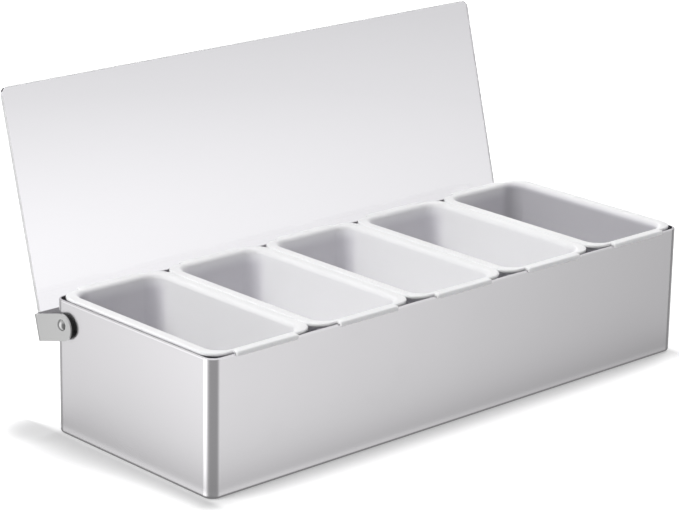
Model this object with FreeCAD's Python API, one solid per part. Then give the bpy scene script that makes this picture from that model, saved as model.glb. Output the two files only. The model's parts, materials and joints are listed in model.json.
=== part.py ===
"""Condiment caddy: a sheet-steel box with five lift-out plastic inserts and a hinged clear lid.

Millimetres. +X runs along the box, +Y towards the hinge, +Z up. The origin is the centre of the
box's underside, on the surface that it stands on. The lid is modelled open, leaning back.
"""

import FreeCAD
import Part
import math
import os

from FreeCAD import Placement, Rotation, Vector

# Box: one gauge of sheet, folded and welded, with a hem along the top
BOX_LENGTH = 482.0
BOX_DEPTH = 176.0
BOX_HEIGHT = 103.0
BOX_SHEET = 0.9
BOX_CORNER_RADIUS = 8.5
FLOOR_BEND_RADIUS = 2.6
HEM_DROP = 8.0
HEM_OUTER_ROUND = 1.3
HEM_INNER_ROUND = 0.4

# Inserts: flanged tubs side by side, hung on the hem by their lips
INSERT_COUNT = 5
INSERT_GAP = 0.4
FLANGE_INSET = 2.0
FLANGE_THICKNESS = 2.2
FLANGE_CORNER_RADIUS = 14.0
FLANGE_EDGE_ROUND = 1.2
SIDE_RIM_WIDTH = 9.4
FRONT_RIM_WIDTH = 5.0
RIM_ROUND = 3.4
CAVITY_CORNER_RADIUS = 12.0
INSERT_WALL = 2.0
INSERT_HEIGHT = 91.0
DRAFT_DEGREES = 2.2
TUB_FLOOR_ROUND = 7.0
LIP_LENGTH = 56.0
LIP_THICKNESS = 1.8
LIP_CLEARANCE = 0.3
LIP_HOOK = 1.2
LIP_CORNER_ROUND = 1.2

# Hinge: the pivot's place on the end wall, and the folded strip with its two ears
PIVOT_INSET = 13.5
PIVOT_DROP = 17.0
LID_LEAN_DEGREES = 14.7
STRIP_SHEET = 1.2
STRIP_BEND_RADIUS = 3.2
STRIP_REACH = 34.4
EAR_HEIGHT = 20.2
PIVOT_ABOVE_EAR_MIDDLE = 1.8
PAD_THICKNESS = 2.5
PAD_DIAMETER = 18.8
PAD_EDGE_ROUND = 0.4
SIDE_PLAY = 0.05

# Hinge rivets
PIN_DIAMETER = 5.0
PIN_CLEARANCE = 0.05
HEAD_DIAMETER = 8.8
HEAD_DOME = 2.3
TAIL_DIAMETER = 8.0
TAIL_THICKNESS = 1.5
TAIL_EDGE_ROUND = 0.5

# Lid sheet and the rivets that hold it on the strip
LID_END_INSET = 2.85
LID_THICKNESS = 2.5
LID_ABOVE_PIVOT = 173.8
LID_FOOT_ABOVE_STRIP_EDGE = 1.0
LID_FREE_CORNER_RADIUS = 6.0
LID_FOOT_CORNER_RADIUS = 2.0
LID_EDGE_ROUND = 0.4
LID_RIVET_COUNT = 4
LID_RIVET_END_INSET = 28.15
LID_RIVET_DIAMETER = 4.0
LID_RIVET_HEAD_DIAMETER = 8.0
LID_RIVET_DOME = 1.6
LID_RIVET_TAIL_DIAMETER = 7.0
LID_RIVET_TAIL_THICKNESS = 1.2

# Places that follow from the sizes above
UP = Vector(0, 0, 1)
ALONG = Vector(1, 0, 0)
BACK = Vector(0, 1, 0)
END_FACE_X = BOX_LENGTH / 2
BACK_FACE_Y = BOX_DEPTH / 2
HEM_THICKNESS = 2 * BOX_SHEET
FLANGE_TOP_Z = BOX_HEIGHT + FLANGE_THICKNESS
INSERT_PITCH = (BOX_LENGTH - 2 * FLANGE_INSET + INSERT_GAP) / INSERT_COUNT
FLANGE_WIDTH = INSERT_PITCH - INSERT_GAP
FLANGE_DEPTH = BOX_DEPTH - 2 * FLANGE_INSET
CAVITY_WIDTH = FLANGE_WIDTH - 2 * SIDE_RIM_WIDTH
CAVITY_DEPTH = FLANGE_DEPTH - 2 * FRONT_RIM_WIDTH
DRAFT_SLOPE = math.tan(math.radians(DRAFT_DEGREES))
PIVOT = Vector(0, BACK_FACE_Y - PIVOT_INSET, BOX_HEIGHT - PIVOT_DROP)
EAR_INNER_X = END_FACE_X + SIDE_PLAY + PAD_THICKNESS
EAR_OUTER_X = EAR_INNER_X + STRIP_SHEET
EAR_MIDDLE = -PIVOT_ABOVE_EAR_MIDDLE
STRIP_TOP = EAR_MIDDLE + EAR_HEIGHT / 2
STRIP_BOTTOM = EAR_MIDDLE - EAR_HEIGHT / 2
LID_LENGTH = BOX_LENGTH - 2 * LID_END_INSET
LID_RIVET_PITCH = (LID_LENGTH - 2 * LID_RIVET_END_INSET) / (LID_RIVET_COUNT - 1)
LEAN = Placement(PIVOT, Rotation(ALONG, -LID_LEAN_DEGREES))
SIDES = {"left": -1, "right": 1}


def rounded_outline(length, depth, radius, z):
    """Closed outline of a rectangle with round corners, centred on the Z axis at height z."""
    x, y = length / 2, depth / 2
    centres = [(x - radius, y - radius, 0), (radius - x, y - radius, 90)]
    centres += [(radius - x, radius - y, 180), (x - radius, radius - y, 270)]
    edges = []
    last = None
    for cx, cy, start in centres:
        circle = Part.Circle(Vector(cx, cy, z), UP, radius)
        arc = Part.Arc(circle, math.radians(start), math.radians(start + 90)).toShape()
        first_point, end_point = arc.Vertexes[0].Point, arc.Vertexes[-1].Point
        if last is not None:
            edges.append(Part.makeLine(last, first_point))
        edges.append(arc)
        last = end_point
    edges.append(Part.makeLine(last, edges[0].Vertexes[0].Point))
    return Part.Wire(edges)


def rounded_block(length, depth, radius, bottom, top):
    """Upright block with round vertical corners."""
    outline = rounded_outline(length, depth, radius, bottom)
    return Part.Face(outline).extrude(UP * (top - bottom))


def edges_at_height(shape, z):
    """Edges of a shape that lie flat at height z."""
    return [e for e in shape.Edges if abs(e.BoundBox.ZMin - z) < 1e-4 and abs(e.BoundBox.ZMax - z) < 1e-4]


def rim_edges(shape, z, length, depth):
    """Edges at height z, split by a rectangle centred on the Z axis into inner and outer ones."""
    inner, outer = [], []
    for edge in edges_at_height(shape, z):
        box = edge.BoundBox
        is_inner = max(-box.XMin, box.XMax) < length / 2 and max(-box.YMin, box.YMax) < depth / 2
        (inner if is_inner else outer).append(edge)
    return inner, outer


def cylinder_along_x(x_start, x_end, diameter):
    """Cylinder between two x positions, on the X axis."""
    start, end = sorted((x_start, x_end))
    return Part.makeCylinder(diameter / 2, end - start, Vector(start, 0, 0), ALONG)


def dome(base, direction, diameter, height):
    """Low dome of a rivet head: a cap of a ball, standing on base."""
    half = diameter / 2
    ball_radius = (half ** 2 + height ** 2) / (2 * height)
    centre = base - direction * (ball_radius - height)
    ball = Part.makeSphere(ball_radius, centre)
    keep = Part.makeCylinder(diameter, height * 2, base, direction)
    return ball.common(keep)


def make_box():
    """Open steel box with bent floor edge, hemmed rim and the two pivot holes."""
    outer = rounded_block(BOX_LENGTH, BOX_DEPTH, BOX_CORNER_RADIUS, 0, BOX_HEIGHT)
    outer = outer.makeFillet(FLOOR_BEND_RADIUS, edges_at_height(outer, 0))
    wall = BOX_SHEET
    room = rounded_block(
        BOX_LENGTH - 2 * wall, BOX_DEPTH - 2 * wall, BOX_CORNER_RADIUS - wall, wall, BOX_HEIGHT - HEM_DROP
    )
    room = room.makeFillet(FLOOR_BEND_RADIUS - wall, edges_at_height(room, wall))
    hem = HEM_THICKNESS
    mouth = rounded_block(
        BOX_LENGTH - 2 * hem, BOX_DEPTH - 2 * hem, BOX_CORNER_RADIUS - hem, BOX_HEIGHT - HEM_DROP, BOX_HEIGHT
    )
    box = outer.cut(room).cut(mouth)
    between = hem + HEM_OUTER_ROUND
    outer_rim = rim_edges(box, BOX_HEIGHT, BOX_LENGTH - between, BOX_DEPTH - between)[1]
    box = box.makeFillet(HEM_OUTER_ROUND, outer_rim)
    inner_rim = rim_edges(box, BOX_HEIGHT, BOX_LENGTH - between, BOX_DEPTH - between)[0]
    box = box.makeFillet(HEM_INNER_ROUND, inner_rim)
    bore = cylinder_along_x(-BOX_LENGTH, BOX_LENGTH, PIN_DIAMETER + 2 * PIN_CLEARANCE)
    bore.translate(PIVOT)
    return box.cut(bore)


def tub(width, depth, radius, top, bottom):
    """Tapered tub shape between two heights, drafted inwards towards the bottom."""
    inset = (top - bottom) * DRAFT_SLOPE
    upper = rounded_outline(width, depth, radius, top)
    lower = rounded_outline(width - 2 * inset, depth - 2 * inset, radius - inset, bottom)
    return Part.makeLoft([lower, upper], True, True)


def make_lip(side):
    """Locating lip: the flange's middle runs out over the hem and hooks down outside the wall."""
    inner_y = BACK_FACE_Y + LIP_CLEARANCE
    outer_y = inner_y + LIP_THICKNESS
    root_y = (FLANGE_DEPTH - FRONT_RIM_WIDTH) / 2
    profile = [
        Vector(-LIP_LENGTH / 2, side * root_y, FLANGE_TOP_Z),
        Vector(-LIP_LENGTH / 2, side * outer_y, FLANGE_TOP_Z),
        Vector(-LIP_LENGTH / 2, side * outer_y, BOX_HEIGHT - LIP_HOOK),
        Vector(-LIP_LENGTH / 2, side * inner_y, BOX_HEIGHT - LIP_HOOK),
        Vector(-LIP_LENGTH / 2, side * inner_y, BOX_HEIGHT),
        Vector(-LIP_LENGTH / 2, side * root_y, BOX_HEIGHT),
    ]
    lip = Part.Face(Part.makePolygon(profile + profile[:1])).extrude(ALONG * LIP_LENGTH)
    corners = [
        e for e in lip.Edges
        if e.BoundBox.XLength < 1e-4 and e.BoundBox.YLength < 1e-4 and abs(abs(e.BoundBox.YMin) - outer_y) < 1e-4
    ]
    return lip.makeFillet(LIP_CORNER_ROUND, corners)


def make_insert():
    """One insert centred on the Z axis: flange with lips, rolled rim and a drafted tub."""
    bottom = FLANGE_TOP_Z - INSERT_HEIGHT
    flange = rounded_block(FLANGE_WIDTH, FLANGE_DEPTH, FLANGE_CORNER_RADIUS, BOX_HEIGHT, FLANGE_TOP_Z)
    shell = tub(
        CAVITY_WIDTH + 2 * INSERT_WALL, CAVITY_DEPTH + 2 * INSERT_WALL,
        CAVITY_CORNER_RADIUS + INSERT_WALL, FLANGE_TOP_Z, bottom,
    )
    shell = shell.makeFillet(TUB_FLOOR_ROUND + INSERT_WALL, edges_at_height(shell, bottom))
    floor = bottom + INSERT_WALL
    cavity = tub(CAVITY_WIDTH, CAVITY_DEPTH, CAVITY_CORNER_RADIUS, FLANGE_TOP_Z, floor)
    cavity = cavity.makeFillet(TUB_FLOOR_ROUND, edges_at_height(cavity, floor))
    body = flange.fuse([make_lip(-1), make_lip(1), shell]).cut(cavity).removeSplitter()
    inner_rim = rim_edges(body, FLANGE_TOP_Z, FLANGE_WIDTH - SIDE_RIM_WIDTH, FLANGE_DEPTH - FRONT_RIM_WIDTH)[0]
    body = body.makeFillet(RIM_ROUND, inner_rim)
    crest = FRONT_RIM_WIDTH - RIM_ROUND
    outer_rim = rim_edges(body, FLANGE_TOP_Z, FLANGE_WIDTH - crest, FLANGE_DEPTH - crest)[1]
    return body.makeFillet(FLANGE_EDGE_ROUND, outer_rim)


def ear_profile(x):
    """Side outline of an ear at x, pivot at the origin: square at the strip, half-round at the front."""
    back_top = Vector(x, STRIP_REACH, STRIP_TOP)
    front_top = Vector(x, 0, STRIP_TOP)
    nose = Vector(x, -EAR_HEIGHT / 2, EAR_MIDDLE)
    front_bottom = Vector(x, 0, STRIP_BOTTOM)
    back_bottom = Vector(x, STRIP_REACH, STRIP_BOTTOM)
    nose_arc = Part.Arc(front_top, nose, front_bottom).toShape()
    edges = [
        Part.makeLine(back_top, front_top), nose_arc,
        Part.makeLine(front_bottom, back_bottom), Part.makeLine(back_bottom, back_top),
    ]
    return Part.Face(Part.Wire(edges))


def make_hinge_strip():
    """Folded strip with an ear at each end, upright, pivot at the origin."""
    web = Part.makeBox(
        2 * EAR_OUTER_X, STRIP_SHEET, EAR_HEIGHT, Vector(-EAR_OUTER_X, STRIP_REACH - STRIP_SHEET, STRIP_BOTTOM)
    )
    ears = [ear_profile(x).extrude(ALONG * STRIP_SHEET) for x in (-EAR_OUTER_X, EAR_INNER_X)]
    strip = web.fuse(ears).removeSplitter()

    def upright_at(x, y):
        return [
            e for e in strip.Edges
            if e.BoundBox.XLength < 1e-4 and e.BoundBox.YLength < 1e-4
            and abs(abs(e.BoundBox.XMin) - x) < 1e-4 and abs(e.BoundBox.YMin - y) < 1e-4
        ]
    strip = strip.makeFillet(STRIP_BEND_RADIUS + STRIP_SHEET, upright_at(EAR_OUTER_X, STRIP_REACH))
    strip = strip.makeFillet(STRIP_BEND_RADIUS, upright_at(EAR_INNER_X, STRIP_REACH - STRIP_SHEET))
    strip = strip.cut(cylinder_along_x(-BOX_LENGTH, BOX_LENGTH, PIN_DIAMETER + 2 * PIN_CLEARANCE))
    for place in lid_rivet_places():
        strip = strip.cut(lid_rivet_hole(place))
    return strip


def make_lid():
    """Clear sheet on the back of the strip, upright, pivot at the origin."""
    foot = STRIP_BOTTOM + LID_FOOT_ABOVE_STRIP_EDGE
    sheet = Part.makeBox(
        LID_LENGTH, LID_THICKNESS, LID_ABOVE_PIVOT - foot, Vector(-LID_LENGTH / 2, STRIP_REACH, foot)
    )

    def corners(z):
        return [
            e for e in sheet.Edges
            if abs(e.BoundBox.YLength - LID_THICKNESS) < 1e-4 and abs(e.BoundBox.ZMin - z) < 1e-4
        ]
    sheet = sheet.makeFillet(LID_FREE_CORNER_RADIUS, corners(LID_ABOVE_PIVOT))
    sheet = sheet.makeFillet(LID_FOOT_CORNER_RADIUS, corners(foot))
    faces = [f for f in sheet.Faces if f.BoundBox.YLength < 1e-4]
    sheet = sheet.makeFillet(LID_EDGE_ROUND, [e for f in faces for e in f.Edges])
    for place in lid_rivet_places():
        sheet = sheet.cut(lid_rivet_hole(place))
    return sheet


def lid_rivet_places():
    """Points on the strip's front face where the lid's rivets pass through."""
    first = -(LID_RIVET_COUNT - 1) / 2 * LID_RIVET_PITCH
    front = STRIP_REACH - STRIP_SHEET
    return [Vector(first + n * LID_RIVET_PITCH, front, EAR_MIDDLE) for n in range(LID_RIVET_COUNT)]


def lid_rivet_hole(place):
    """Clearance hole through strip and sheet at one rivet."""
    radius = LID_RIVET_DIAMETER / 2 + PIN_CLEARANCE
    return Part.makeCylinder(radius, STRIP_SHEET + LID_THICKNESS, place, BACK)


def make_lid_rivets():
    """The rivets that clamp the sheet to the strip, domed behind the sheet, as separate solids."""
    stack = STRIP_SHEET + LID_THICKNESS
    rivets = []
    for place in lid_rivet_places():
        shank = Part.makeCylinder(LID_RIVET_DIAMETER / 2, stack, place, BACK)
        head = dome(place + BACK * stack, BACK, LID_RIVET_HEAD_DIAMETER, LID_RIVET_DOME)
        tail = Part.makeCylinder(LID_RIVET_TAIL_DIAMETER / 2, LID_RIVET_TAIL_THICKNESS, place, -BACK)
        rivets.append(shank.fuse([head, tail]).removeSplitter())
    return Part.makeCompound(rivets)


def make_hinge_rivet(side):
    """Pivot rivet through ear, pad and end wall: domed outside, upset inside."""
    outward = ALONG * side
    head_seat = EAR_OUTER_X + SIDE_PLAY
    tail_seat = END_FACE_X - BOX_SHEET
    shank = cylinder_along_x(side * tail_seat, side * head_seat, PIN_DIAMETER)
    head = dome(outward * head_seat, outward, HEAD_DIAMETER, HEAD_DOME)
    tail = Part.makeCylinder(TAIL_DIAMETER / 2, TAIL_THICKNESS, outward * tail_seat, -outward)
    tail_end = side * (tail_seat - TAIL_THICKNESS)
    rim = [e for e in tail.Edges if e.BoundBox.XLength < 1e-4 and abs(e.BoundBox.XMin - tail_end) < 1e-4]
    tail = tail.makeFillet(TAIL_EDGE_ROUND, rim)
    rivet = shank.fuse([head, tail]).removeSplitter()
    rivet.translate(PIVOT)
    return rivet


def make_hinge_pad(side):
    """Friction pad on the ear's inner face, in line with its round front, upright, pivot at the origin."""
    pad = cylinder_along_x(side * (EAR_INNER_X - PAD_THICKNESS), side * EAR_INNER_X, PAD_DIAMETER)
    pad = pad.makeFillet(PAD_EDGE_ROUND, [e for e in pad.Edges if e.BoundBox.XLength < 1e-4])
    pad.translate(UP * EAR_MIDDLE)
    return pad.cut(cylinder_along_x(-BOX_LENGTH, BOX_LENGTH, PIN_DIAMETER + 2 * PIN_CLEARANCE))


def leaned(shape):
    """Shape modelled upright about the pivot, set back to the open lid's lean."""
    placed = shape.copy()
    placed.Placement = LEAN.multiply(placed.Placement)
    return placed


def build():
    """All nodes by name."""
    nodes = {"box": make_box()}
    insert = make_insert()
    for n in range(INSERT_COUNT):
        shift = (n - (INSERT_COUNT - 1) / 2) * INSERT_PITCH
        nodes[f"insert_{n + 1}"] = insert.translated(ALONG * shift)
    nodes["lid"] = leaned(make_lid())
    nodes["hinge_strip"] = leaned(make_hinge_strip())
    nodes["lid_rivets"] = leaned(make_lid_rivets())
    for name, side in SIDES.items():
        nodes[f"hinge_rivet_{name}"] = make_hinge_rivet(side)
        nodes[f"hinge_pad_{name}"] = leaned(make_hinge_pad(side))
    return nodes


os.makedirs("parts", exist_ok=True)
for node_name, shape in build().items():
    if not shape.isValid():
        raise ValueError(f"{node_name} is not a valid solid")
    shape.exportStep(f"parts/{node_name}.step")
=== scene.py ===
"""Open condiment caddy in a plain pale studio: finishes of its pieces, floor, lamps and view."""
import json
import math

import bpy
from mathutils import Matrix, Vector


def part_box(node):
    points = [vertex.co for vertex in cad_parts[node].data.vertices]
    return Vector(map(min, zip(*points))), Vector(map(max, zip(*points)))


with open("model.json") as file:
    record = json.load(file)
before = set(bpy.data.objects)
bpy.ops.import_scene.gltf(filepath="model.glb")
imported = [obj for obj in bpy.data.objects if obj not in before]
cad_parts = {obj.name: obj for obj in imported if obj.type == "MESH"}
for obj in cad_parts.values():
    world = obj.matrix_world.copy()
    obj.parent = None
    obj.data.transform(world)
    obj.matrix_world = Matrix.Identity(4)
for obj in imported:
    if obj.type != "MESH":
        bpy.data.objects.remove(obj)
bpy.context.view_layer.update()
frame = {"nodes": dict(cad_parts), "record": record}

BOX_LOW, BOX_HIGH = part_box("box")
LID_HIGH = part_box("lid")[1]
MM = 0.001


# Shader maths
class Value:
    """A number that changes over a surface. Python maths on it adds Math nodes to its finish."""

    def __init__(self, finish, socket):
        self.finish = finish
        self.socket = socket

    def maths(self, operation, first, second=None, clamp=False):
        inputs = {0: first} if second is None else {0: first, 1: second}
        return self.finish.add("ShaderNodeMath", {"operation": operation, "use_clamp": clamp}, inputs)

    def __add__(self, other):
        return self.maths("ADD", self, other)

    __radd__ = __add__

    def __sub__(self, other):
        return self.maths("SUBTRACT", self, other)

    def __rsub__(self, other):
        return self.maths("SUBTRACT", other, self)

    def __mul__(self, other):
        return self.maths("MULTIPLY", self, other)

    __rmul__ = __mul__

    def __truediv__(self, other):
        return self.maths("DIVIDE", self, other)

    def __rtruediv__(self, other):
        return self.maths("DIVIDE", other, self)

    def __pow__(self, other):
        return self.maths("POWER", self, other)

    def clamped(self):
        return self.maths("ADD", self, 0.0, clamp=True)

    def size(self):
        return self.maths("ABSOLUTE", self)

    def at_least(self, other):
        return self.maths("MAXIMUM", self, other)

    def angle_over(self, other):
        """Compass angle of a direction from its Y part, this, and its X part, the other."""
        return self.maths("ARCTAN2", self, other)

    def fraction(self):
        return self.maths("FRACT", self)


class Finish:
    """A node tree that is built from nothing, one node at a time."""

    def __init__(self, owner):
        owner.use_nodes = True
        self.tree = owner.node_tree
        self.tree.nodes.clear()

    def add(self, kind, settings=None, inputs=None, output=0):
        """One node: its settings first, then the values or links of its sockets. Returns one output."""
        node = self.tree.nodes.new(kind)
        for name, setting in (settings or {}).items():
            if name == "stops":
                ramp = node.color_ramp
                while len(ramp.elements) < len(setting):
                    ramp.elements.new(1.0)
                for element, (place, tone) in zip(ramp.elements, setting):
                    element.position = place
                    element.color = grey(tone)
            else:
                setattr(node, name, setting)
        for name, content in (inputs or {}).items():
            socket = node.inputs[name]
            if isinstance(content, Value):
                self.tree.links.new(content.socket, socket)
            else:
                socket.default_value = content
        return Value(self, node.outputs[output])

    def place(self):
        """Position on the piece, in metres."""
        return self.add("ShaderNodeTexCoord", output="Object")

    def part(self, vector, axis):
        """The X, Y or Z part of a vector."""
        return self.add("ShaderNodeSeparateXYZ", inputs={0: vector}, output=axis)

    def stretched(self, vector, scale):
        """A vector multiplied part by part."""
        return self.add("ShaderNodeVectorMath", {"operation": "MULTIPLY"}, {0: vector, 1: scale})

    def distance(self, place, other):
        return self.add("ShaderNodeVectorMath", {"operation": "DISTANCE"},
                        {0: place, 1: other}, output="Value")

    def noise(self, place, waves, detail=3.0, rough=0.6):
        """A random pattern. Waves per metre are one number, or three for X, Y and Z."""
        if isinstance(waves, tuple):
            place = self.stretched(place, waves)
            waves = 1.0
        return self.add("ShaderNodeTexNoise", None,
                        {"Vector": place, "Scale": waves, "Detail": detail, "Roughness": rough})

    def band(self, value, start, end, low=0.0, high=1.0):
        """A smooth step of value from low at start to high at end."""
        return self.add("ShaderNodeMapRange", {"interpolation_type": "SMOOTHSTEP", "clamp": True},
                        {"Value": value, "From Min": start, "From Max": end, "To Min": low, "To Max": high})

    def ramp(self, value, stops):
        """Grey tones between stops, each a place from 0 to 1 and its tone."""
        return self.add("ShaderNodeValToRGB", {"stops": stops}, {"Fac": value})

    def blend(self, mask, first, second):
        """From the first colour to the second as mask goes from 0 to 1."""
        return self.add("ShaderNodeMix", {"data_type": "RGBA", "clamp_factor": True},
                        {"Factor": mask, 6: first, 7: second}, output=2)

    def bump(self, height, depth):
        """A surface with that height pattern, depth in metres."""
        return self.add("ShaderNodeBump", None, {"Height": height, "Distance": depth, "Strength": 1.0})

    def principled(self, sockets):
        return self.add("ShaderNodeBsdfPrincipled", None, sockets)

    def matt(self, tone):
        return self.add("ShaderNodeBsdfDiffuse", None, {"Color": grey(tone)})

    def clear(self, colour):
        return self.add("ShaderNodeBsdfTransparent", None, {"Color": colour})

    def glow(self, colour):
        return self.add("ShaderNodeEmission", None, {"Color": colour, "Strength": 1.0})

    def backdrop(self, colour, strength):
        return self.add("ShaderNodeBackground", None, {"Color": colour, "Strength": strength})

    def mix(self, factor, first, second):
        return self.add("ShaderNodeMixShader", None, {0: factor, 1: first, 2: second})

    def both(self, first, second):
        return self.add("ShaderNodeAddShader", None, {0: first, 1: second})

    def ray(self, kind):
        return self.add("ShaderNodeLightPath", output=f"Is {kind} Ray")

    def end(self, shader, kind="ShaderNodeOutputMaterial"):
        node = self.tree.nodes.new(kind)
        self.tree.links.new(shader.socket, node.inputs["Surface"])


def new_finish(name):
    material = bpy.data.materials.new(name)
    return material, Finish(material)


def tint(red, green, blue):
    return (red, green, blue, 1.0)


def grey(tone):
    return tint(tone, tone, tone)


# Waves per metre of each pattern, one number or three for X, Y and Z
FINE_GRAIN = (30.0, 30.0, 4200.0)
COARSE_GRAIN = (12.0, 12.0, 800.0)
STEEL_CLOUDS = 14.0
FINGER_MARKS = 38.0
RIVET_PITS = 900.0
RIVET_CLOUDS = 160.0
PLASTIC_SKIN = 700.0
PLASTIC_CLOUDS = 18.0
PLASTIC_SCUFFS = (60.0, 60.0, 420.0)
LID_WAVES = 5.0
LID_HAZE = (40.0, 200.0, 120.0)
SAW_MARKS = 900.0
RUBBER_GRAIN = 1500.0

# Plastics: how much they bend light, and how deep it enters the milky ones
PLASTIC_IOR = 1.49
INSERT_GLOW_DEPTH = 2.5 * MM
LID_EDGE_GLOW_DEPTH = 4.0 * MM

# Lid sheet: it leans back about the hinge pivot and stands this far behind it, square to the sheet
PIVOT = Vector(frame["record"]["behaviour"]["joints"][0]["pos_m"])
LEAN = math.radians(14.7)
SHEET_BEHIND_PIVOT = 34.4 * MM
SHEET_TOP_ABOVE_PIVOT = (LID_HIGH.z - PIVOT.z) / math.cos(LEAN) + SHEET_BEHIND_PIVOT * math.tan(LEAN)
CUT_EDGE = 0.9 * MM
CUT_EDGE_STRENGTH = 0.75


def satin_steel(name, base, roughness, low, high):
    """Satin stainless sheet between two corners: lengthwise grain, clouding, finger marks, rubbed edges."""
    material, finish = new_finish(name)
    place = finish.place()
    height = finish.part(place, "Z")
    grain = finish.noise(place, FINE_GRAIN) * 0.6 + finish.noise(place, COARSE_GRAIN, 2.0, 0.5) * 0.4
    cloud = finish.noise(place, STEEL_CLOUDS, 3.0, 0.5)
    marks = finish.band(finish.noise(place, FINGER_MARKS), 0.56, 0.72)
    top_edge = finish.band(height, high.z - 1.6 * MM, high.z - 0.4 * MM)
    foot_edge = finish.band(height, low.z + 2.4 * MM, low.z + 0.6 * MM)
    rubbed = (top_edge + foot_edge).clamped()
    dulled = grain * 0.05 + cloud * 0.05 - rubbed * 0.08
    finish.end(finish.principled({
        "Base Color": finish.blend(dulled, base, grey(0.5)),
        "Roughness": roughness + grain * 0.04 + cloud * 0.03 + marks * 0.015 - rubbed * 0.05,
        "Metallic": 1.0, "Anisotropic": 0.6, "Anisotropic Rotation": 0.25,
        "Normal": finish.bump(grain, 0.0016 * MM),
    }))
    return material


def polished_rivet_steel():
    """Rivets, polished, tumbled with tiny pits; their base colour is darkened, a painted dark reflection on
    the heads.
    """
    material, finish = new_finish("rivet_polished_steel")
    place = finish.place()
    pits = finish.noise(place, RIVET_PITS)
    cloud = finish.noise(place, RIVET_CLOUDS, 2.0, 0.5)
    finish.end(finish.principled({
        # Painted dark reflection: the base colour is far darker than the box's steel
        "Base Color": finish.blend(cloud, grey(0.45), grey(0.36)), "Metallic": 1.0,
        "Roughness": 0.08 + pits * 0.08, "Normal": finish.bump(pits, 0.01 * MM),
    }))
    return material


def milky(depth):
    """Sockets of a plastic that light enters to that depth."""
    return {"IOR": PLASTIC_IOR, "Subsurface Weight": 1.0, "Subsurface Scale": depth,
            "Subsurface Radius": (1.0, 1.0, 1.0)}


def white_insert_plastic():
    """Thin white moulded plastic, half gloss. Rims are smoother; walls next to the steel are greyer: painted
    shade.
    """
    material, finish = new_finish("insert_white_plastic")
    place = finish.place()
    off_middle = finish.part(place, "X").size()
    off_centre_line = finish.part(place, "Y").size()
    height = finish.part(place, "Z")
    skin = finish.noise(place, PLASTIC_SKIN, 3.0, 0.55)
    cloud = finish.noise(place, PLASTIC_CLOUDS, 3.0, 0.5)
    scuffs = finish.noise(place, PLASTIC_SCUFFS, 4.0)
    handled = finish.band(height, BOX_HIGH.z - 4.0 * MM, BOX_HIGH.z + 1.0 * MM)

    # The long walls in front and behind and the row's two end walls, inside the box and below the rims, get
    # painted shade
    in_box = finish.band(off_centre_line, BOX_HIGH.y - 0.8 * MM, BOX_HIGH.y - 1.6 * MM)
    below_hem = finish.band(height, BOX_HIGH.z, BOX_HIGH.z - 11.0 * MM)
    below_rim = finish.band(height, BOX_HIGH.z + 2.2 * MM, BOX_HIGH.z - 4.0 * MM)
    to_long_walls = finish.band(off_centre_line, BOX_HIGH.y - 24.0 * MM, BOX_HIGH.y - 9.0 * MM)
    to_end_walls = finish.band(off_middle, BOX_HIGH.x - 29.0 * MM, BOX_HIGH.x - 16.5 * MM)

    white = finish.blend(cloud * 0.5 + scuffs * 0.1, tint(0.93, 0.926, 0.945), tint(0.9, 0.896, 0.92))
    # Painted shade: greyer on the long walls with steel behind them, darker still on the row's two end walls
    white_with_painted_wall_shade = finish.blend(to_long_walls * below_hem * in_box, white, tint(0.71, 0.7, 0.73))
    finish.end(finish.principled({
        "Base Color": finish.blend(to_end_walls * below_rim * in_box, white_with_painted_wall_shade, tint(0.53, 0.523, 0.545)),
        "Roughness": 0.32 + skin * 0.06 + scuffs * 0.08 - handled * 0.05,
        "Normal": finish.bump(skin, 0.01 * MM), **milky(INSERT_GLOW_DEPTH),
    }))
    return material


def clear_lid_plastic():
    """Clear glossy sheet with a faint cool tint and pale sawn edges; light from the lamps passes it."""
    material, finish = new_finish("lid_clear_plastic")
    place = finish.place()
    off_middle = finish.part(place, "X").size()
    behind_pivot = finish.part(place, "Y") - PIVOT.y
    above_pivot = finish.part(place, "Z") - PIVOT.z
    up_sheet = behind_pivot * math.sin(LEAN) + above_pivot * math.cos(LEAN)

    def sawn(distance, edge):
        return finish.band(distance, edge - CUT_EDGE, edge - CUT_EDGE * 0.6)

    wave = finish.noise(place, LID_WAVES, 2.0, 0.5)
    haze = finish.noise(place, LID_HAZE)
    saw = finish.noise(place, SAW_MARKS)
    sheet = finish.principled({
        "Base Color": finish.blend(haze, tint(0.985, 0.98, 1.0), tint(0.975, 0.97, 0.99)),
        "Roughness": 0.01 + haze * 0.03, "IOR": PLASTIC_IOR, "Transmission Weight": 1.0,
        "Normal": finish.bump(wave, 0.05 * MM),
    })
    cut = finish.principled({
        "Base Color": finish.blend(saw, grey(0.92), grey(0.82)), "Roughness": 0.3 + saw * 0.2,
        "Normal": finish.bump(saw, 0.02 * MM), **milky(LID_EDGE_GLOW_DEPTH),
    })
    at_edge = sawn(off_middle, LID_HIGH.x).at_least(sawn(up_sheet, SHEET_TOP_ABOVE_PIVOT))
    surface = finish.mix(at_edge * CUT_EDGE_STRENGTH, sheet, cut)
    finish.end(finish.mix(finish.ray("Shadow"), surface, finish.clear(tint(0.93, 0.93, 0.95))))
    return material


def black_pad_rubber():
    """Black friction pad, matt with a fine moulded grain."""
    material, finish = new_finish("pad_black_rubber")
    grain = finish.noise(finish.place(), RUBBER_GRAIN)
    finish.end(finish.principled({
        "Base Color": finish.blend(grain, grey(0.012), grey(0.028)), "Roughness": 0.6 + grain * 0.2,
        "Normal": finish.bump(grain, 0.02 * MM),
    }))
    return material


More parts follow.
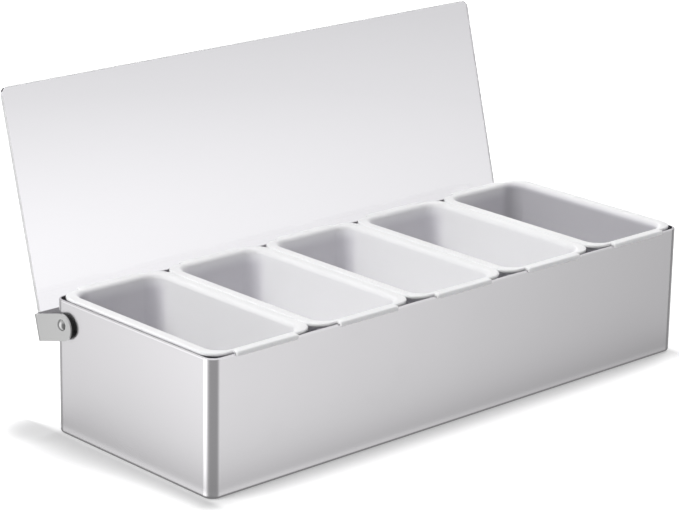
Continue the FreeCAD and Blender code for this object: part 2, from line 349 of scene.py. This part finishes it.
FINISHES = {
    "box_steel": satin_steel("box_satin_steel", tint(0.775, 0.763, 0.784), 0.21, BOX_LOW, BOX_HIGH),
    "hinge_steel": satin_steel("hinge_satin_steel", grey(0.62), 0.22, *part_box("hinge_strip")),
    "rivet_steel": polished_rivet_steel(),
    "insert_plastic": white_insert_plastic(),
    "lid_plastic": clear_lid_plastic(),
    "pad_rubber": black_pad_rubber(),
}
for entry in frame["record"]["subparts"]:
    piece = frame["nodes"][entry["node"]]
    for slot in piece.material_slots:
        slot.material = FINISHES[entry["material_slot"]]


# Floor as the eye sees it: white beyond a short reach of the box; nearer, its glow fades, a painted shadow
# over the real one
FLOOR_REACH = 8.0
FLOOR_TONE = 0.8
SEEN_FLOOR_TONE = 0.6
SIDE_FADE = 4.0 * MM
WHITE_REACH = 25.0 * MM
WHITE_LIFT = 0.74
# Glow at the box's foot on the left, front and right: the lower it is, the deeper the painted shadow there
FOOT_LIFT_LEFT, FOOT_LIFT_FRONT, FOOT_LIFT_RIGHT = 0.07, 0.33, 0.6
FAR_WHITE_START, FAR_WHITE_END = 0.3, 1.2

# Share of its distance that a place on the left counts with, so that the painted shadow reaches further
# there
LEFT_SHARE = 0.42
LEFT_FRONT_SHARE = 0.95
LEFT_FRONT, LEFT_BACK = BOX_LOW.y - 22.0 * MM, BOX_HIGH.y - 38.0 * MM
# Painted shadow that reaches further by the back-left corner, where the glow is cut
SHADOW_CORNER = Vector((BOX_LOW.x - 11.0 * MM, BOX_HIGH.y + 12.0 * MM, 0.0))
SHADOW_CORNER_REACH = 35.0 * MM
SHADOW_CORNER_CUT = 0.6

# Floor as metal shows it, a painted reflection: darker near the box, with a light line by the bend and a
# dark one where they meet
SHEEN = 0.52
SHEEN_REACH = 47.0 * MM
BROAD_SHEEN = 0.06
BROAD_SHEEN_FROM, BROAD_SHEEN_TO = 0.06, 0.3
DARK_SHEEN_TONE = 0.25
PAINTED_LIGHT_LINE = 0.7
PAINTED_CONTACT_SHADE = 0.5

# Floor as the lid shows it, a painted pool of light: tones by distance from a pale pool behind the box,
# wider than it is deep
POOL_CENTRE = Vector((-0.29, 0.468, 0.0))
POOL_SHAPE = Vector((1.0, 1.905, 1.0))
POOL_REACH = 1.6
POOL = [(0.0, 1.0), (0.25, 0.99), (0.6, 0.88), (1.0, 0.76), (1.5, 0.67)]
COOL_WHITE = (0.995, 0.99, 1.0)


def pale_floor():
    """Plain pale floor that keeps the shadow, deepens it with painted shadow near the box, and is white to
    the eye elsewhere.
    """
    material, finish = new_finish("floor_pale")
    place = finish.place()
    x = finish.part(place, "X")
    y = finish.part(place, "Y")
    off_x = (x.size() - BOX_HIGH.x).at_least(0.0)
    off_y = (y.size() - BOX_HIGH.y).at_least(0.0)
    squared = off_x * off_x + off_y * off_y
    reach = squared ** 0.5
    left = finish.band(x, BOX_LOW.x + SIDE_FADE, BOX_LOW.x - SIDE_FADE)
    right = finish.band(x, BOX_HIGH.x - SIDE_FADE, BOX_HIGH.x + SIDE_FADE)
    behind = finish.band(y, BOX_HIGH.y - SIDE_FADE, BOX_HIGH.y + SIDE_FADE)

    def to_the_eye():
        # The glow fades near the box: painted shadow over the real one, longer on the left and by the
        # back-left corner
        left_share = finish.band(y, LEFT_FRONT, LEFT_BACK, LEFT_FRONT_SHARE, LEFT_SHARE)
        shadow_x = off_x * (1.0 - left * (1.0 - left_share))
        shadow_y = off_y * (1.0 - left * behind * (1.0 - LEFT_SHARE))
        at_corner = finish.band(finish.distance(place, SHADOW_CORNER), SHADOW_CORNER_REACH, 0.0)
        shadow_reach = (shadow_x * shadow_x + shadow_y * shadow_y) ** 0.5
        shadow_reach = shadow_reach * (1.0 - at_corner * SHADOW_CORNER_CUT)
        foot_lift = finish.blend(left, grey(FOOT_LIFT_FRONT), grey(FOOT_LIFT_LEFT))
        foot_lift = finish.blend(right, foot_lift, grey(FOOT_LIFT_RIGHT))
        lift = finish.blend(finish.band(shadow_reach, 0.0, WHITE_REACH), foot_lift, grey(WHITE_LIFT))
        lift = finish.blend(finish.band(reach, FAR_WHITE_START, FAR_WHITE_END), lift, grey(1.0))
        return finish.both(finish.matt(SEEN_FLOOR_TONE), finish.glow(lift))

    def in_metal():
        # Painted reflection: only metal sees the floor dark near the box, with a light line and a dark
        # contact line
        near_sheen = SHEEN * SHEEN_REACH ** 2 / (squared + SHEEN_REACH ** 2)
        broad_sheen = left * finish.band(reach, BROAD_SHEEN_TO, BROAD_SHEEN_FROM) * BROAD_SHEEN
        painted_light_line = finish.band(reach, 3.0 * MM, 5.0 * MM) * finish.band(reach, 12.0 * MM, 8.0 * MM)
        painted_contact_shade = finish.band(reach, 3.0 * MM, 1.5 * MM)
        painted_dark_sheen = (near_sheen + broad_sheen) * (1.0 - painted_light_line * PAINTED_LIGHT_LINE)
        painted_dark_sheen = painted_dark_sheen + painted_contact_shade * PAINTED_CONTACT_SHADE
        return finish.mix(painted_dark_sheen, finish.clear(grey(1.0)), finish.glow(grey(DARK_SHEEN_TONE)))

    def through_the_lid():
        # Painted pool of light, which only the lid shows
        way = finish.distance(finish.stretched(place, POOL_SHAPE), POOL_CENTRE * POOL_SHAPE)
        pool = finish.ramp(way / POOL_REACH, [(distance / POOL_REACH, tone) for distance, tone in POOL])
        return finish.glow(finish.stretched(pool, COOL_WHITE))

    surface = finish.mix(finish.ray("Camera"), finish.matt(FLOOR_TONE), to_the_eye())
    surface = finish.mix(finish.ray("Glossy"), surface, in_metal())
    finish.end(finish.mix(finish.ray("Transmission"), surface, through_the_lid()))
    return material


def lay_floor():
    mesh = bpy.data.meshes.new("floor")
    corners = [(x * FLOOR_REACH, y * FLOOR_REACH, 0.0) for x, y in ((-1, -1), (1, -1), (1, 1), (-1, 1))]
    mesh.from_pydata(corners, [], [(0, 1, 2, 3)])
    floor = bpy.data.objects.new("floor", mesh)
    bpy.context.scene.collection.objects.link(floor)
    mesh.materials.append(pale_floor())


# Tone of the studio's walls by compass angle, counted from +X towards +Y, as metal shows it
WALL_PEAK = 2.2
STUDIO_WALLS = [
    (0, 0.45), (28, 0.5), (42, 0.6), (50, 1.9), (57, 1.9), (80, 0.6), (106, 0.5), (113, 0.5), (120, 0.52),
    (126, 0.7), (130, 1.24), (136, 1.55), (142, 1.78), (154, 2.0), (166, 1.75), (176, 1.1), (188, 0.55),
    (204, 0.38), (270, 0.37), (282, 0.5), (292, 0.82), (300, 1.0), (306, 1.07), (313, 0.98), (319, 0.63),
    (326, 0.33), (334, 0.25), (350, 0.4),
]
CEILING_TONE = 0.95
CEILING_FROM, CEILING_TO = 0.25, 0.75
AMBIENT_STRENGTH = 0.35
LID_VIEW_STRENGTH = 0.7


def light_studio():
    """World: white to the eye, dim ambient light, and soft panels that only metal and gloss show."""
    world = bpy.data.worlds.new("studio")
    bpy.context.scene.world = world
    finish = Finish(world)
    way = finish.add("ShaderNodeTexCoord", output="Generated")
    turn = (finish.part(way, "Y").angle_over(finish.part(way, "X")) / (2 * math.pi) + 1.0).fraction()
    walls = finish.ramp(turn, [(angle / 360, tone / WALL_PEAK) for angle, tone in STUDIO_WALLS])
    overhead = finish.band(finish.part(way, "Z"), CEILING_FROM, CEILING_TO)
    panels = finish.blend(overhead, walls, grey(CEILING_TONE / WALL_PEAK))
    ambient = finish.backdrop(tint(0.98, 0.98, 1.0), AMBIENT_STRENGTH)
    through_the_lid = finish.backdrop(tint(0.99, 0.985, 1.0), LID_VIEW_STRENGTH)
    surface = finish.mix(finish.ray("Glossy"), ambient, finish.backdrop(panels, WALL_PEAK))
    surface = finish.mix(finish.ray("Transmission"), surface, through_the_lid)
    surface = finish.mix(finish.ray("Camera"), surface, finish.backdrop(grey(1.0), 1.0))
    finish.end(surface, "ShaderNodeOutputWorld")


LAMP_AIM = Vector((0.0, 0.0, 50.0 * MM))


def softbox(name, place, width, height, power):
    lamp = bpy.data.lights.new(name, "AREA")
    lamp.shape = "RECTANGLE"
    lamp.size = width
    lamp.size_y = height
    lamp.energy = power
    stand = bpy.data.objects.new(name, lamp)
    stand.location = place
    stand.rotation_euler = (LAMP_AIM - Vector(place)).to_track_quat("-Z", "Y").to_euler()
    stand.visible_camera = False
    stand.visible_glossy = False
    stand.visible_transmission = False
    bpy.context.scene.collection.objects.link(stand)


lay_floor()
light_studio()
softbox("right_softbox", (1.6, 0.35, 1.35), width=1.0, height=1.0, power=16.0)
softbox("left_softbox", (-1.5, 0.3, 1.3), width=1.0, height=1.0, power=20.5)
softbox("overhead_softbox", (0.0, 0.5, 1.3), width=2.4, height=0.8, power=5.0)


# View
IMAGE_WIDTH = 679
FOCAL_PIXELS = 2708.32
VIEW_AZIMUTH, VIEW_ELEVATION, VIEW_ROLL = (math.radians(a) for a in (-42.88, 17.67, 0.99))
VIEW_DISTANCE, VIEW_RIGHT, VIEW_UP = 2.07649, 0.02973, -0.10231
SENSOR_WIDTH = 36.0
FAR_LIMIT = 50.0


def set_camera():
    """Camera at the picture's viewing angle."""
    back = Vector((
        math.sin(VIEW_AZIMUTH) * math.cos(VIEW_ELEVATION),
        -math.cos(VIEW_AZIMUTH) * math.cos(VIEW_ELEVATION),
        math.sin(VIEW_ELEVATION),
    ))
    level_right = Vector((0, 0, 1)).cross(back).normalized()
    level_up = back.cross(level_right)
    right = level_right * math.cos(VIEW_ROLL) + level_up * math.sin(VIEW_ROLL)
    up = level_up * math.cos(VIEW_ROLL) - level_right * math.sin(VIEW_ROLL)
    lens = bpy.data.cameras.new("view")
    lens.sensor_width = SENSOR_WIDTH
    lens.lens = FOCAL_PIXELS / IMAGE_WIDTH * SENSOR_WIDTH
    lens.clip_end = FAR_LIMIT
    camera = bpy.data.objects.new("view", lens)
    turn = Matrix((right, up, back)).transposed().to_4x4()
    stand = back * VIEW_DISTANCE - right * VIEW_RIGHT - up * VIEW_UP
    camera.matrix_world = Matrix.Translation(stand) @ turn
    bpy.context.scene.collection.objects.link(camera)
    bpy.context.scene.camera = camera


set_camera()
bpy.context.scene.view_settings.view_transform = "Standard"
